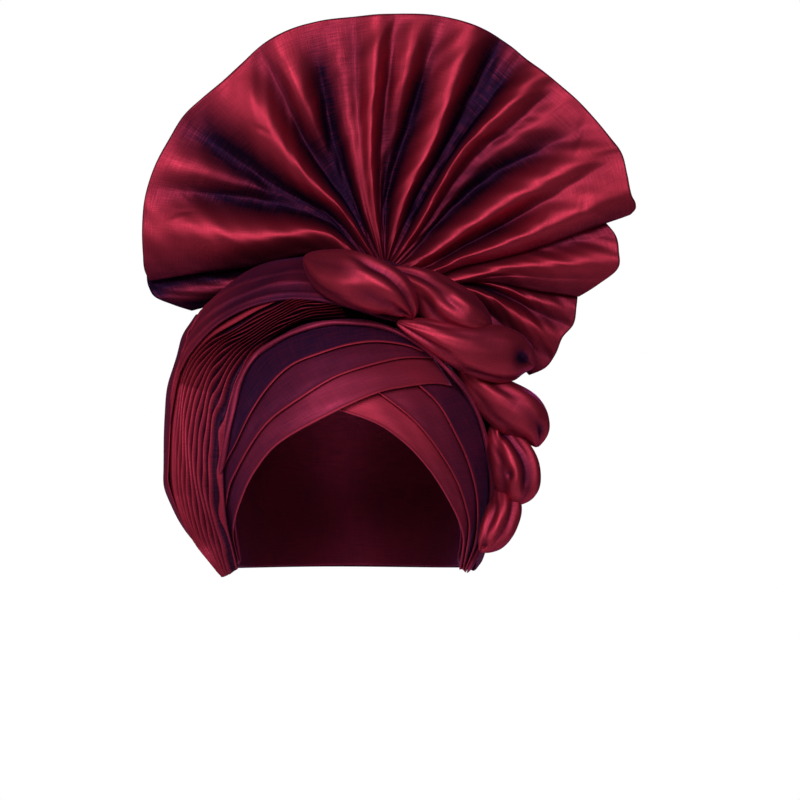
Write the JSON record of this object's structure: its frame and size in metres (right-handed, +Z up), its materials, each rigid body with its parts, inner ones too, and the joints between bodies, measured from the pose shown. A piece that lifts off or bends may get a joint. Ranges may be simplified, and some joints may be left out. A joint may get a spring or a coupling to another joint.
{
  "type": "tied gele head tie",
  "caption": "Tied gele head tie in shot taffeta: pleated half-rosette fan, twisted rope, folded brow layers, ridged side pleats and a smooth outer wrap.",
  "frame": {"origin": "on the head's vertical axis at hat-band level, inside the open hollow", "axes": "+Z up towards the top of the fan, -Y out of the brow, +X towards the wearer's left side, where the rope comes down"},
  "size_m": [0.2969, 0.2074, 0.3368],
  "materials": {
    "taffeta_fan": "shot taffeta, satin gloss, slubbed",
    "taffeta_twist": "shot taffeta, satin gloss, slubbed",
    "taffeta_brow": "shot taffeta, pressed folds",
    "taffeta_pleats": "shot taffeta, narrow pleats",
    "taffeta_wrap": "shot taffeta, smooth and dull"
  },
  "bodies": {
    "root": {"cap_wrap": "taffeta_wrap", "wrap_front": "taffeta_wrap", "wrap_back": "taffeta_wrap", "brow_fold_left_1": "taffeta_brow", "brow_fold_left_2": "taffeta_brow", "brow_fold_left_3": "taffeta_brow", "brow_fold_right_1": "taffeta_brow", "brow_fold_right_2": "taffeta_brow", "brow_fold_right_3": "taffeta_brow", "brow_roll": "taffeta_brow", "side_pleats": "taffeta_pleats", "side_pleat_wide": "taffeta_pleats", "fan": "taffeta_fan", "fan_lobe_left": "taffeta_fan", "fan_lobe_right_upper": "taffeta_fan", "fan_lobe_right_lower": "taffeta_fan", "twist_1": "taffeta_twist", "twist_2": "taffeta_twist", "twist_3": "taffeta_twist", "twist_4": "taffeta_twist", "twist_5": "taffeta_twist", "twist_6": "taffeta_twist"}
  },
  "joints": []
}
